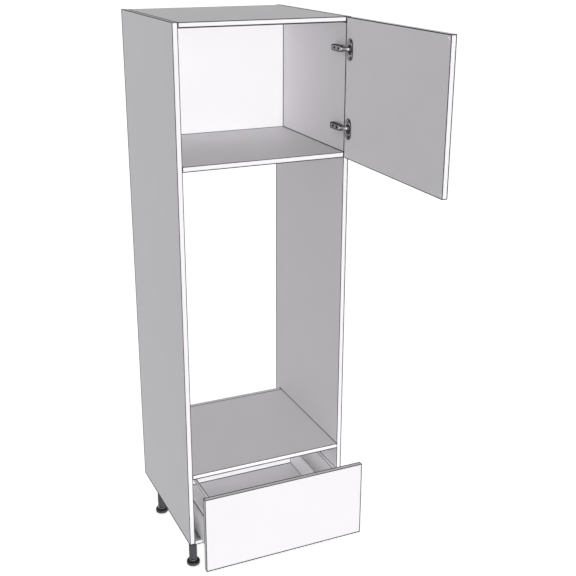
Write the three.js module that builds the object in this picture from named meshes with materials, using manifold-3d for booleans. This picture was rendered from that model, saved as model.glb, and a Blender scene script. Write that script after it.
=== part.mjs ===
// Tall kitchen cabinet that houses built-in ovens: a cupboard with a side-hung door on top,
// an open oven bay in the middle, a metal-sided drawer below and four adjustable legs.
// Millimetres, +Z up, +X to the right, the front faces -Y.
// The origin is on the oven shelf's top face, midway across and midway between front and rear edges.
import * as THREE from 'three';
import { mergeVertices } from 'three/addons/utils/BufferGeometryUtils.js';
import Module from 'manifold-3d';

const wasm = await Module();
wasm.setup();

// Carcass
const carcassWidth = 600;
const carcassDepth = 560;
const carcassHeight = 1820;
const panelThickness = 18;
const topPanelRecess = 18;
const cupboardHeight = 438;
const upperBackRecess = 49;
const ovenShelfTop = 284;
const lowerBackRecess = 36;
const backThickness = 18;

// Legs
const legHeight = 150;
const legSideInset = 43;
const legFrontInset = 103;
const legRearInset = 71;
const legTubeRadius = 15;
const legTubeGroove = 1;
const legTubeShoulder = 6;
const socketFlangeRadius = 19;
const socketFlangeThickness = 3;
const socketSpigotRadius = 4.75;
const socketSpigotLength = 11;
const socketStubRadius = 8;
const socketStubLength = 8;
const footRadius = 24.5;
const footHeight = 20;
const footChamfer = 3.5;
const footRimHeight = 12.5;
const footNeckRadius = 12;
const footStemRadius = 9.25;
const footStemLength = 69;
const footUpTravel = 5;

// Door and its swing: the stand-in axis lies inside the door, near its hinge edge
const doorThickness = 18;
const doorReveal = 2;
const doorEndReveal = 0.5;
const frontGap = 2;
const hingeAxisFromEdge = 4.75;
const hingeAxisFromFace = 12.25;
const doorOpenDegrees = 90;
const bufferRadius = 4;
const bufferThickness = 1.25;
const bufferInset = 12;

// Concealed hinge: cup and flange in the door
const hingeEndInset = 100;
const cupCentreFromEdge = 22;
const cupRadius = 17.5;
const cupWall = 1.25;
const cupDepth = 12.5;
const cupFloor = 0.75;
const cupNotchHalf = 6.75;
const cupNotchDepth = 2.5;
const cupNotchWidth = 5;
const flangeThickness = 1.25;
const flangeWidth = 37;
const flangeHeight = 70;
const cupScrewSpacing = 52;
const cupScrewOffset = 5.5;
const cupScrewHeadRadius = 4;
const cupScrewHeadHeight = 1.25;
const cupScrewShankRadius = 1.75;
const cupScrewShankLength = 12;

// Concealed hinge: mounting plate and arm on the side panel
const plateHeight = 8.5;
const plateHalfWidth = 8;
const plateFront = 28;
const plateRear = 78;
const plateEndBevel = 3;
const armRise = 19;
const armFootRise = 6;
const armHalfWidth = 10;
const armCheek = 1.5;
const armWeb = 2;
const armFront = 4;
const armRear = 66;
const armEndRound = 4;
const earFront = 5;
const earOverlap = 6;
const earInnerHalf = 6.5;
const earOuterHalf = 8.5;
const earFootRise = 7.5;
const armScrewFront = 17;
const armScrewRear = 45;
const armScrewHeadRadius = 3.5;
const armScrewHeadHeight = 1.5;
const armScrewShankRadius = 2;
const screwSlotWidth = 1;
const screwSlotDepth = 0.75;

// Concealed hinge: the two links, drawn in the open position from their pivots on the arm
const linkThickness = 1.75;
const pivotRadius = 2;
const outerPivotRise = 16.7;
const outerPivotFront = -0.3;
const outerLinkHalf = 6;
const outerWindowHalf = 4;
const outerTipDepth = 1.6;
const outerTipFromCup = 13.3;
const outerBendShares = [0.29, 0.97];
const innerPivotRise = 11.2;
const innerPivotFront = 2.2;
const innerLinkHalf = 3.5;
const innerTipDepth = 2;
const innerTipFromCup = 12.7;
const innerBendShares = [0.25, 0.99];

// Drawer
const drawerPull = 148;
const drawerFrontReveal = 1;
const drawerFrontThickness = 18;
const drawerRearClearance = 30;
const drawerBoardThickness = 16;
const drawerFloorClearance = 16;
const drawerBackClearance = 45;
const sideClearance = 21;
const sideWidth = 24;
const sideLedge = 3;
const sideLean = 12;
const sideHeight = 82;
const sideShoulderRise = 26;
const sideSkirtDrop = 10;
const sideWall = 1.5;
const sideToeWidth = 12;
const flareTurnShare = 1 / 3;
const railInset = 14;
const railDrop = 5;
const railRadius = 6;
const railCollarWall = 1.5;
const railCollarLength = 12;
const bracketThickness = 3;
const bracketInnerMargin = 3;
const bracketOuterMargin = 7;
const bracketRise = 6;
const bracketCrown = 3;
const backBracketThickness = 2;

// Drawer runners: three nested sheet-steel sections on each side
const runnerSheet = 1.5;
const runnerSetback = 3;
const runnerPlateRise = 18;
const runnerFloorGap = 0.5;
const runnerInset = 10;
const runnerUprightDrop = 1;
const runnerLegGap = 2;
const runnerSlideGap = 0.4;
const middleMemberInset = 10;
const drawerMemberInset = 7;

// Clearances, cutting overrun and facet counts
const seatGap = 0.3;
const cutOverrun = 1;
const roundFacets = 32;
const smallFacets = 14;
const cornerFacets = 5;
const curveSteps = 8;

// Sizes that follow from the ones above
const innerHalf = carcassWidth / 2 - panelThickness;
const upperShelfTop = carcassHeight - cupboardHeight;
const ovenShelfUnderside = ovenShelfTop - panelThickness;
const upperBackRear = carcassDepth - upperBackRecess;
const upperBackFront = upperBackRear - backThickness;
const lowerBackRear = carcassDepth - lowerBackRecess;
const ovenShelfDepth = lowerBackRear - backThickness;
const drawerBoxLength = ovenShelfDepth - drawerRearClearance;
const footTravelGap = footUpTravel + seatGap;
const doorBottom = upperShelfTop - panelThickness + doorEndReveal;
const doorTop = carcassHeight - doorEndReveal;
const doorWidth = carcassWidth - 2 * doorReveal;
const hingeAxisX = carcassWidth / 2 - doorReveal - hingeAxisFromEdge;
const hingeAxisY = -frontGap - hingeAxisFromFace;
const hingeHeights = { lower: doorBottom + hingeEndInset, upper: doorTop - hingeEndInset };
const cupCentreX = hingeAxisFromEdge - cupCentreFromEdge;
const drawerFloorUnderside = panelThickness + drawerFloorClearance;
const drawerBackTop = ovenShelfUnderside - drawerBackClearance;
const boxRear = drawerBoxLength - drawerBoardThickness;
const sideOuterHalf = innerHalf - sideClearance;
const sideInnerHalf = sideOuterHalf - sideWidth;
const sideTop = drawerFloorUnderside + sideHeight;
const railHalf = sideOuterHalf - railInset;
const railHeight = drawerBackTop - railDrop;
const bracketBottom = drawerFloorUnderside + bracketRise;
const runnerUprightHalf = sideOuterHalf - runnerInset;
const runnerUprightTop = drawerFloorUnderside - runnerUprightDrop;
const runnerFootHeight = panelThickness + runnerFloorGap + runnerSheet / 2;
const sides = { left: -1, right: 1 };

// Finishes
const finishes = {
  board: { color: 0xf1f0f1, roughness: 0.5, metalness: 0 },
  drawerSteel: { color: 0xe4e4e6, roughness: 0.4, metalness: 0.1 },
  runnerSteel: { color: 0xb9bbbe, roughness: 0.35, metalness: 0.9 },
  hingeSteel: { color: 0x97989b, roughness: 0.3, metalness: 0.9 },
  screwSteel: { color: 0x5d5e61, roughness: 0.4, metalness: 0.9 },
  legPlastic: { color: 0x454447, roughness: 0.55, metalness: 0 },
  bufferPlastic: { color: 0xdcdcdc, roughness: 0.35, metalness: 0 },
};

// A named sub-part with a material of its own
function part(name, geometry, finish) {
  const mesh = new THREE.Mesh(geometry, new THREE.MeshStandardMaterial(finishes[finish]));
  mesh.name = name;
  return mesh;
}

// A group at a place, turned about its upright axis
function placed(x, y, z, degrees, children) {
  const group = new THREE.Group();
  group.position.set(x, y, z);
  group.rotation.z = THREE.MathUtils.degToRad(degrees);
  group.add(...children);
  return group;
}

// A block between two opposite corners
function block(low, high) {
  const size = high.map((value, axis) => value - low[axis]);
  const middle = high.map((value, axis) => (value + low[axis]) / 2);
  return new THREE.BoxGeometry(...size).translate(...middle);
}

// Two numbers in rising order, so that a mirrored range is a range again
function range(a, b) {
  return [Math.min(a, b), Math.max(a, b)];
}

// A block whose ends along X are mirrored to the given side
function sideBlock(side, x, y, z) {
  const [left, right] = range(side * x[0], side * x[1]);
  return block([left, y[0], z[0]], [right, y[1], z[1]]);
}

// Turns a shape drawn in X and Z into a bar along Y
function barAlongY(shape, start, end) {
  const settings = { depth: end - start, bevelEnabled: false, curveSegments: cornerFacets };
  const axes = new THREE.Matrix4().makeBasis(
    new THREE.Vector3(1, 0, 0),
    new THREE.Vector3(0, 0, 1),
    new THREE.Vector3(0, -1, 0),
  );
  return new THREE.ExtrudeGeometry(shape, settings).applyMatrix4(axes).translate(0, end, 0);
}

// Turns a shape drawn in X and Y into an upright bar
function barAlongZ(shape, bottom, top) {
  const settings = { depth: top - bottom, bevelEnabled: false, curveSegments: cornerFacets };
  return new THREE.ExtrudeGeometry(shape, settings).translate(0, 0, bottom);
}

// A cylinder along Y between two places
function rodAlongY(x, z, radius, start, end, facets) {
  const rod = new THREE.CylinderGeometry(radius, radius, end - start, facets);
  return rod.translate(x, (start + end) / 2, z);
}

// An upright cylinder between two heights
function rodAlongZ(x, y, radius, bottom, top, facets) {
  const rod = new THREE.CylinderGeometry(radius, radius, top - bottom, facets);
  return rod.rotateX(Math.PI / 2).translate(x, y, (bottom + top) / 2);
}

// A turned solid about the Z axis; the profile is a list of [radius, height]
function turned(profile, facets) {
  const points = profile.map(([radius, height]) => new THREE.Vector2(radius, height));
  return new THREE.LatheGeometry(points, facets).rotateX(Math.PI / 2);
}

// Closed geometry to a solid that can be joined and cut
function solid(geometry) {
  const bare = geometry.clone();
  bare.deleteAttribute('normal');
  bare.deleteAttribute('uv');
  const merged = mergeVertices(bare);
  const faces = [];
  for (let i = 0; i < merged.index.count; i += 3) {
    const face = [merged.index.getX(i), merged.index.getX(i + 1), merged.index.getX(i + 2)];
    if (new Set(face).size === face.length) faces.push(...face);
  }
  return new wasm.Manifold(new wasm.Mesh({
    numProp: 3,
    vertProperties: new Float32Array(merged.attributes.position.array),
    triVerts: new Uint32Array(faces),
  }));
}

// A solid back to geometry
function geometryOf(body) {
  const mesh = body.getMesh();
  const geometry = new THREE.BufferGeometry();
  geometry.setAttribute('position', new THREE.BufferAttribute(mesh.vertProperties, 3));
  geometry.setIndex(new THREE.BufferAttribute(mesh.triVerts, 1));
  geometry.computeVertexNormals();
  return geometry;
}

// Joins the added pieces and takes the removed ones away
function carve(added, removed = []) {
  let body = solid(added[0]);
  for (const piece of added.slice(1)) body = body.add(solid(piece));
  for (const piece of removed) body = body.subtract(solid(piece));
  return geometryOf(body);
}

// A closed outline of even thickness along a run of [across, up] points, with mitred bends
function stripOutline(run, thickness) {
  const points = run.map(([across, up]) => new THREE.Vector2(across, up));
  const offset = (index, sign) => {
    const before = points[Math.max(index - 1, 0)];
    const here = points[index];
    const after = points[Math.min(index + 1, points.length - 1)];
    const arriving = (index ? here.clone().sub(before) : after.clone().sub(here)).normalize();
    const leaving = (index < points.length - 1 ? after.clone().sub(here) : arriving.clone()).normalize();
    const normal = new THREE.Vector2(-arriving.y - leaving.y, arriving.x + leaving.x).normalize();
    const mitre = normal.dot(new THREE.Vector2(-arriving.y, arriving.x));
    return here.clone().addScaledVector(normal, (sign * thickness) / 2 / mitre);
  };
  const indices = points.map((_, index) => index);
  const near = indices.map((index) => offset(index, 1));
  const far = indices.map((index) => offset(index, -1)).reverse();
  return new THREE.Shape([...near, ...far]);
}

// A rectangle with rounded corners, drawn about a centre
function roundedRectangle(across, up, width, height, radius) {
  const shape = new THREE.Shape();
  const right = across + width / 2 - radius;
  const left = across - width / 2 + radius;
  const top = up + height / 2 - radius;
  const bottom = up - height / 2 + radius;
  shape.absarc(right, top, radius, 0, Math.PI / 2);
  shape.absarc(left, top, radius, Math.PI / 2, Math.PI);
  shape.absarc(left, bottom, radius, Math.PI, 3 * Math.PI / 2);
  shape.absarc(right, bottom, radius, 3 * Math.PI / 2, 2 * Math.PI);
  return shape;
}

// Centres of the four legs, measured from the carcass front
function legPlaces() {
  const across = carcassWidth / 2 - legSideInset;
  const rearY = carcassDepth - legRearInset;
  return {
    front_left: [-across, legFrontInset],
    front_right: [across, legFrontInset],
    rear_left: [-across, rearY],
    rear_right: [across, rearY],
  };
}

function sidePanels() {
  return Object.entries(sides).map(([name, side]) => {
    const geometry = sideBlock(side, [innerHalf, carcassWidth / 2], [0, carcassDepth], [0, carcassHeight]);
    return part(`side_panel_${name}`, geometry, 'board');
  });
}

// The bottom panel, bored from below for the spigots of the legs
function bottomPanel() {
  const board = block([-innerHalf, 0, 0], [innerHalf, carcassDepth, panelThickness]);
  const bores = Object.values(legPlaces()).map(([x, y]) => rodAlongZ(
    x, y, socketSpigotRadius + seatGap, -cutOverrun, socketSpigotLength + seatGap, smallFacets,
  ));
  return part('bottom_panel', carve([board], bores), 'board');
}

// A board between the side panels
function crossBoard(name, y, z) {
  return part(name, block([-innerHalf, y[0], z[0]], [innerHalf, y[1], z[1]]), 'board');
}

function carcassBoards() {
  const ceiling = carcassHeight - panelThickness;
  return [
    crossBoard('top_panel', [0, carcassDepth - topPanelRecess], [ceiling, carcassHeight]),
    crossBoard('upper_shelf', [0, upperBackRear], [upperShelfTop - panelThickness, upperShelfTop]),
    crossBoard('oven_shelf', [0, ovenShelfDepth], [ovenShelfUnderside, ovenShelfTop]),
    crossBoard('upper_back_panel', [upperBackFront, upperBackRear], [upperShelfTop, ceiling]),
    crossBoard('lower_back_panel', [ovenShelfDepth, lowerBackRear], [panelThickness, ovenShelfTop]),
  ];
}

// The socket under the bottom panel: spigot above, flange, and a stub that holds the tube
function legSocket() {
  return turned([
    [0, -socketFlangeThickness - socketStubLength],
    [socketStubRadius, -socketFlangeThickness - socketStubLength],
    [socketStubRadius, -socketFlangeThickness],
    [socketFlangeRadius, -socketFlangeThickness],
    [socketFlangeRadius, 0],
    [socketSpigotRadius, 0],
    [socketSpigotRadius, socketSpigotLength],
    [0, socketSpigotLength],
  ], roundFacets);
}

// The tube, open at the top for the socket's stub and bored from below for the foot's stem
function legTube() {
  const top = -socketFlangeThickness - seatGap;
  const bottom = -legHeight + footHeight + footTravelGap;
  const stemTop = -legHeight + footHeight + footStemLength;
  const shell = turned([
    [0, bottom],
    [legTubeRadius, bottom],
    [legTubeRadius, bottom + legTubeShoulder],
    [legTubeRadius - legTubeGroove, bottom + legTubeShoulder + legTubeGroove],
    [legTubeRadius - legTubeGroove, bottom + 2 * legTubeShoulder],
    [legTubeRadius, bottom + 2 * legTubeShoulder + legTubeGroove],
    [legTubeRadius, top],
    [0, top],
  ], roundFacets);
  const stubBore = rodAlongZ(
    0, 0, socketStubRadius + seatGap, top - socketStubLength, top + cutOverrun, roundFacets,
  );
  const stemBore = rodAlongZ(
    0, 0, footStemRadius + seatGap, bottom - cutOverrun, stemTop + footTravelGap, roundFacets,
  );
  return carve([shell], [stubBore, stemBore]);
}

// The foot: a wide disc with a neck, and the stem that screws up into the tube
function legFoot() {
  const floor = -legHeight;
  const crown = floor + footHeight;
  return turned([
    [0, floor],
    [footRadius - footChamfer, floor],
    [footRadius, floor + footChamfer],
    [footRadius, floor + footRimHeight],
    [footRadius - footChamfer, floor + footRimHeight + footChamfer],
    [footNeckRadius + footChamfer, crown - footChamfer],
    [footNeckRadius, crown],
    [footStemRadius, crown],
    [footStemRadius, crown + footStemLength],
    [0, crown + footStemLength],
  ], roundFacets);
}

function legs() {
  return Object.entries(legPlaces()).map(([name, [x, y]]) => placed(x, y, 0, 0, [
    part(`leg_socket_${name}`, legSocket(), 'legPlastic'),
    part(`leg_tube_${name}`, legTube(), 'legPlastic'),
    part(`leg_foot_${name}`, legFoot(), 'legPlastic'),
  ]));
}

// Places of a cup's two screws, in the door's own frame
function cupScrewPlaces(height) {
  const x = cupCentreX - cupScrewOffset;
  return [
    [x, height - cupScrewSpacing / 2],
    [x, height + cupScrewSpacing / 2],
  ];
}

// The door in its closed position about the hinge axis, bored for the cups and their screws
function doorPanel() {
  const inner = hingeAxisFromFace;
  const board = block(
    [hingeAxisFromEdge - doorWidth, inner - doorThickness, doorBottom],
    [hingeAxisFromEdge, inner, doorTop],
  );
  const bores = [];
  for (const height of Object.values(hingeHeights)) {
    bores.push(rodAlongY(
      cupCentreX, height, cupRadius + seatGap, inner - cupDepth - seatGap, inner + cutOverrun, roundFacets,
    ));
    for (const [x, z] of cupScrewPlaces(height)) {
      bores.push(rodAlongY(
        x, z, cupScrewShankRadius + seatGap, inner - cupScrewShankLength, inner + cutOverrun, smallFacets,
      ));
    }
  }
  return part('door_panel', carve([board], bores), 'board');
}

// Cup and flange in one pressing, open towards the arm, with a notch in the rim for the open links
function hingeCup(name, height) {
  const seat = hingeAxisFromFace + seatGap;
  const face = seat + flangeThickness;
  const floor = hingeAxisFromFace - cupDepth + cupFloor;
  const outline = roundedRectangle(cupCentreX, height, flangeWidth, flangeHeight, flangeWidth / 2);
  const flange = barAlongY(outline, seat, face);
  const wall = rodAlongY(cupCentreX, height, cupRadius, hingeAxisFromFace - cupDepth, face, roundFacets);
  const hollow = rodAlongY(cupCentreX, height, cupRadius - cupWall, floor, face + cutOverrun, roundFacets);
  const holes = cupScrewPlaces(height).map(([x, z]) => rodAlongY(
    x, z, cupScrewShankRadius + seatGap, seat - cutOverrun, face + cutOverrun, smallFacets,
  ));
  const edge = cupCentreX + flangeWidth / 2;
  const notch = block(
    [edge - cupNotchWidth, face - cupNotchDepth, height - cupNotchHalf],
    [edge + cutOverrun, face + cutOverrun, height + cupNotchHalf],
  );
  return part(`hinge_cup_${name}`, carve([flange, wall], [hollow, notch, ...holes]), 'hingeSteel');
}

// A pan-head screw with a slotted head, its shank along -Y from the origin
function slottedScrew(headRadius, headHeight, shankRadius, shankLength) {
  const head = rodAlongY(0, 0, headRadius, 0, headHeight, smallFacets);
  const shank = rodAlongY(0, 0, shankRadius, -shankLength, headHeight / 2, smallFacets);
  const slot = block(
    [-headRadius - cutOverrun, headHeight - screwSlotDepth, -screwSlotWidth / 2],
    [headRadius + cutOverrun, headHeight + cutOverrun, screwSlotWidth / 2],
  );
  return carve([head, shank], [slot]);
}

function cupScrews(name, height) {
  const seat = hingeAxisFromFace + 2 * seatGap + flangeThickness;
  return cupScrewPlaces(height).map(([x, z], index) => {
    const length = cupScrewShankLength + flangeThickness;
    const geometry = slottedScrew(cupScrewHeadRadius, cupScrewHeadHeight, cupScrewShankRadius, length);
    return part(`cup_screw_${name}_${index + 1}`, geometry.translate(x, seat, z), 'screwSteel');
  });
}

// Soft stops near the door's free edge
function doorBuffers() {
  const x = hingeAxisFromEdge - doorWidth + bufferInset;
  const seat = hingeAxisFromFace + seatGap;
  const heights = { lower: doorBottom + bufferInset, upper: doorTop - bufferInset };
  return Object.entries(heights).map(([name, z]) => part(
    `door_buffer_${name}`,
    rodAlongY(x, z, bufferRadius, seat, seat + bufferThickness, smallFacets),
    'bufferPlastic',
  ));
}

function door() {
  const hardware = Object.entries(hingeHeights).flatMap(([name, height]) => [
    hingeCup(name, height),
    ...cupScrews(name, height),
  ]);
  return placed(hingeAxisX, hingeAxisY, 0, doorOpenDegrees, [doorPanel(), ...hardware, ...doorBuffers()]);
}

// The plate that is screwed to the side panel under the arm
function mountingPlate(name, height) {
  const shape = new THREE.Shape([
    new THREE.Vector2(-seatGap, plateFront),
    new THREE.Vector2(-seatGap, plateRear),
    new THREE.Vector2(-plateHeight + plateEndBevel, plateRear),
    new THREE.Vector2(-plateHeight, plateRear - plateEndBevel),
    new THREE.Vector2(-plateHeight, plateFront + plateEndBevel),
    new THREE.Vector2(-plateHeight + plateEndBevel, plateFront),
  ].reverse());
  const bar = barAlongZ(shape, -plateHalfWidth, plateHalfWidth);
  return part(`hinge_plate_${name}`, bar.translate(innerHalf, 0, height), 'hingeSteel');
}

// The arm: a channel over the plate, with two ears in front that carry the links
function hingeArm(name, height) {
  const length = armRear - armFront;
  const outline = roundedRectangle(
    (armFront + armRear) / 2, 0, length, 2 * armHalfWidth, armEndRound,
  );
  const web = -armRise;
  const across = new THREE.Matrix4().makeBasis(
    new THREE.Vector3(0, 1, 0),
    new THREE.Vector3(0, 0, 1),
    new THREE.Vector3(1, 0, 0),
  );
  const settings = { depth: armRise - armFootRise, bevelEnabled: false, curveSegments: cornerFacets };
  const shell = new THREE.ExtrudeGeometry(outline, settings).applyMatrix4(across).translate(web, 0, 0);
  const channelHalf = armHalfWidth - armCheek;
  const channel = block(
    [web + armWeb, armFront - cutOverrun, -channelHalf],
    [-armFootRise + cutOverrun, armRear + cutOverrun, channelHalf],
  );
  const ears = [-1, 1].map((sign) => {
    const [low, high] = range(sign * earInnerHalf, sign * earOuterHalf);
    return block([web, -earFront, low], [-earFootRise, armFront + earOverlap, high]);
  });
  const holes = [armScrewFront, armScrewRear].map((y) => {
    const rod = new THREE.CylinderGeometry(
      armScrewShankRadius + seatGap, armScrewShankRadius + seatGap, 2 * armWeb + cutOverrun, smallFacets,
    );
    return rod.rotateZ(Math.PI / 2).translate(web + armWeb / 2, y, 0);
  });
  const channelled = geometryOf(solid(shell).subtract(solid(channel)));
  const geometry = carve([channelled, ...ears], holes);
  return part(`hinge_arm_${name}`, geometry.translate(innerHalf, 0, height), 'hingeSteel');
}

// The two adjusting screws in the arm's web: they bear on the plate, or stop just above the panel
function armScrews(name, height) {
  const plateReach = armRise - plateHeight - seatGap;
  const freeReach = armRise - armFootRise;
  const places = { front: [armScrewFront, freeReach], rear: [armScrewRear, plateReach] };
  return Object.entries(places).map(([end, [y, reach]]) => {
    const geometry = slottedScrew(armScrewHeadRadius, armScrewHeadHeight, armScrewShankRadius, reach);
    geometry.rotateZ(Math.PI / 2).translate(innerHalf - armRise - seatGap, y, height);
    return part(`adjusting_screw_${name}_${end}`, geometry, 'screwSteel');
  });
}

// A link's tip in the cup of the open door, seen from its pivot: across the carcass and ahead of it
function linkTip(pivotRise, pivotFront, depth, fromCup) {
  const doorFace = hingeAxisX - hingeAxisFromFace;
  const cupCentre = hingeAxisY + cupCentreX;
  const across = doorFace + depth - (innerHalf - pivotRise);
  const ahead = -pivotFront - (cupCentre + fromCup);
  return [across, ahead];
}

// The middle line of a link, a smooth bend from its pivot to its tip
function linkRun([tipAcross, tipAhead], [acrossShare, aheadShare]) {
  const curve = new THREE.QuadraticBezierCurve(
    new THREE.Vector2(0, 0),
    new THREE.Vector2(tipAcross * acrossShare, -tipAhead * aheadShare),
    new THREE.Vector2(tipAcross, -tipAhead),
  );
  return curve.getPoints(curveSteps).map((point) => [point.x, point.y]);
}

// The outer link: two cheeks joined by the barrel at the pivot
function outerLink(name, height) {
  const tip = linkTip(outerPivotRise, outerPivotFront, outerTipDepth, outerTipFromCup);
  const outline = stripOutline(linkRun(tip, outerBendShares), linkThickness);
  const strip = barAlongZ(outline, -outerLinkHalf, outerLinkHalf);
  const reach = tip[0] + tip[1];
  const window = block([-reach, -reach, -outerWindowHalf], [reach, reach, outerWindowHalf]);
  const barrel = rodAlongZ(0, 0, pivotRadius, -outerLinkHalf, outerLinkHalf, smallFacets);
  const fork = geometryOf(solid(strip).subtract(solid(window)));
  const geometry = carve([fork, barrel]);
  geometry.translate(innerHalf - outerPivotRise, -outerPivotFront, height);
  return part(`hinge_outer_link_${name}`, geometry, 'hingeSteel');
}

// The inner link: a narrow plate that passes between the outer link's cheeks
function innerLink(name, height) {
  const tip = linkTip(innerPivotRise, innerPivotFront, innerTipDepth, innerTipFromCup);
  const outline = stripOutline(linkRun(tip, innerBendShares), linkThickness);
  const strip = barAlongZ(outline, -innerLinkHalf, innerLinkHalf);
  const barrel = rodAlongZ(0, 0, pivotRadius, -innerLinkHalf, innerLinkHalf, smallFacets);
  const geometry = carve([strip, barrel]);
  geometry.translate(innerHalf - innerPivotRise, -innerPivotFront, height);
  return part(`hinge_inner_link_${name}`, geometry, 'hingeSteel');
}

function hinges() {
  return Object.entries(hingeHeights).flatMap(([name, height]) => [
    mountingPlate(name, height),
    hingeArm(name, height),
    ...armScrews(name, height),
    outerLink(name, height),
    innerLink(name, height),
  ]);
}

// The curved outer face of a drawer side, from its crest down to its shoulder
function sideFlare(crest, top, outer, shoulder) {
  const curve = new THREE.CubicBezierCurve(
    new THREE.Vector2(crest, top),
    new THREE.Vector2(crest, (top + shoulder) / 2),
    new THREE.Vector2(outer, top - (top - shoulder) * flareTurnShare),
    new THREE.Vector2(outer, shoulder),
  );
  return curve.getPoints(curveSteps);
}

// The section of a twin-walled drawer side: a closed chamber above, an open bay for the runner below
function drawerSideSection(side) {
  const v = (x, z) => new THREE.Vector2(side * x, z);
  const flip = (points) => points.map((point) => v(point.x, point.y));
  const bayCeiling = runnerUprightTop + 2 * (runnerSlideGap + runnerSheet) + seatGap;
  const toe = sideInnerHalf - sideToeWidth;
  const toeTop = drawerFloorUnderside - seatGap;
  const skirtBottom = drawerFloorUnderside - sideSkirtDrop;
  const shoulder = drawerFloorUnderside + sideShoulderRise;
  const ledge = sideInnerHalf + sideLedge;
  const crest = sideOuterHalf - sideLean;
  const outerWallIn = sideOuterHalf - sideWall;
  const innerWallOut = sideInnerHalf + sideWall;
  const outline = [
    v(toe, toeTop - sideWall),
    v(toe, toeTop),
    v(sideInnerHalf, toeTop),
    v(sideInnerHalf, sideTop - sideLedge),
    v(ledge, sideTop),
    ...flip(sideFlare(crest, sideTop, sideOuterHalf, shoulder)),
    v(sideOuterHalf, skirtBottom),
    v(outerWallIn, skirtBottom),
    v(outerWallIn, bayCeiling),
    v(innerWallOut, bayCeiling),
    v(innerWallOut, toeTop - sideWall),
  ];
  const chamber = [
    v(innerWallOut, bayCeiling + sideWall),
    v(innerWallOut, sideTop - sideLedge),
    v(ledge, sideTop - sideWall),
    ...flip(sideFlare(crest - sideWall, sideTop - sideWall, outerWallIn, shoulder)),
    v(outerWallIn, bayCeiling + sideWall),
  ];
  const shape = new THREE.Shape(outline);
  shape.holes.push(new THREE.Path(chamber.reverse()));
  return shape;
}

function drawerSide(name, side) {
  const start = bracketThickness - frontGap + seatGap;
  const geometry = barAlongY(drawerSideSection(side), start, boxRear - seatGap);
  return part(`drawer_side_${name}`, geometry, 'drawerSteel');
}

// The bracket on the drawer front that holds the side below and the rail in a collar above
function frontBracket(name, side) {
  const x = side * railHalf;
  const boreRadius = railRadius + seatGap;
  const collarRadius = boreRadius + railCollarWall;
  const back = bracketThickness - frontGap;
  const collarEnd = back + railCollarLength;
  const plate = sideBlock(
    side, [sideInnerHalf + bracketInnerMargin, sideOuterHalf - bracketOuterMargin],
    [-frontGap, back], [bracketBottom, drawerBackTop + bracketCrown],
  );
  const collar = rodAlongY(x, railHeight, collarRadius, back / 2, collarEnd, smallFacets);
  const bore = rodAlongY(x, railHeight, boreRadius, back, collarEnd + cutOverrun, smallFacets);
  return part(`front_bracket_${name}`, carve([plate, collar], [bore]), 'drawerSteel');
}

// The bracket at the drawer's back corner: a plate behind the side and a flange along the back board
function backBracket(name, side) {
  const heights = [bracketBottom, drawerBackTop + seatGap];
  const plate = sideBlock(
    side, [sideInnerHalf, sideOuterHalf - sideWall], [boxRear, boxRear + backBracketThickness], heights,
  );
  const flange = sideBlock(
    side, [sideInnerHalf, sideInnerHalf + backBracketThickness], [boxRear, drawerBoxLength], heights,
  );
  return part(`back_bracket_${name}`, carve([plate, flange]), 'drawerSteel');
}

function galleryRail(name, side) {
  const x = side * railHalf;
  const start = bracketThickness - frontGap + seatGap;
  const geometry = rodAlongY(x, railHeight, railRadius, start, boxRear - seatGap, smallFacets);
  return part(`gallery_rail_${name}`, geometry, 'drawerSteel');
}

function drawerBoards() {
  const boardHalf = sideInnerHalf - seatGap;
  const frontHalf = carcassWidth / 2 - doorReveal;
  const floorTop = drawerFloorUnderside + drawerBoardThickness;
  return [
    part('drawer_front', block(
      [-frontHalf, -frontGap - drawerFrontThickness, 0],
      [frontHalf, -frontGap, ovenShelfTop - drawerFrontReveal],
    ), 'board'),
    part('drawer_floor', block(
      [-boardHalf, -frontGap, drawerFloorUnderside],
      [boardHalf, boxRear, floorTop],
    ), 'board'),
    part('drawer_back', block(
      [-boardHalf, boxRear, drawerFloorUnderside],
      [boardHalf, drawerBoxLength, drawerBackTop],
    ), 'board'),
  ];
}

// An upside-down trough over the runner's upright, one step larger for each layer
function troughRun(layer) {
  const step = runnerSheet + runnerSlideGap;
  const left = runnerUprightHalf - layer * step;
  const right = runnerUprightHalf + layer * step;
  const ridge = runnerUprightTop + layer * step - runnerSheet / 2;
  const foot = runnerFootHeight + runnerSheet / 2 + runnerLegGap;
  return [[left, foot], [left, ridge], [right, ridge], [right, foot]];
}

// The cabinet member's bent sheet: down the side panel, in under the drawer and up
function cabinetMemberRun() {
  const plateCentre = innerHalf - seatGap - runnerSheet / 2;
  return [
    [plateCentre, drawerFloorUnderside + runnerPlateRise],
    [plateCentre, runnerFootHeight],
    [runnerUprightHalf, runnerFootHeight],
    [runnerUprightHalf, runnerUprightTop],
  ];
}

function runnerBar(name, side, run, start, length) {
  const mirrored = run.map(([x, z]) => [side * x, z]);
  const shape = stripOutline(mirrored, runnerSheet);
  return part(name, barAlongY(shape, start, start + length), 'runnerSteel');
}

function cabinetMember(name, side) {
  const run = cabinetMemberRun();
  return runnerBar(`runner_cabinet_member_${name}`, side, run, runnerSetback, drawerBoxLength);
}

function middleMember(name, side) {
  const length = drawerBoxLength - 2 * middleMemberInset;
  return runnerBar(`runner_middle_member_${name}`, side, troughRun(1), middleMemberInset, length);
}

function drawerMember(name, side) {
  const length = drawerBoxLength - 2 * drawerMemberInset;
  return runnerBar(`runner_drawer_member_${name}`, side, troughRun(2), drawerMemberInset, length);
}

function drawer() {
  const pieces = Object.entries(sides).flatMap(([name, side]) => [
    drawerSide(name, side),
    frontBracket(name, side),
    backBracket(name, side),
    galleryRail(name, side),
    drawerMember(name, side),
  ]);
  return placed(0, -drawerPull, 0, 0, [...drawerBoards(), ...pieces]);
}

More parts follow.
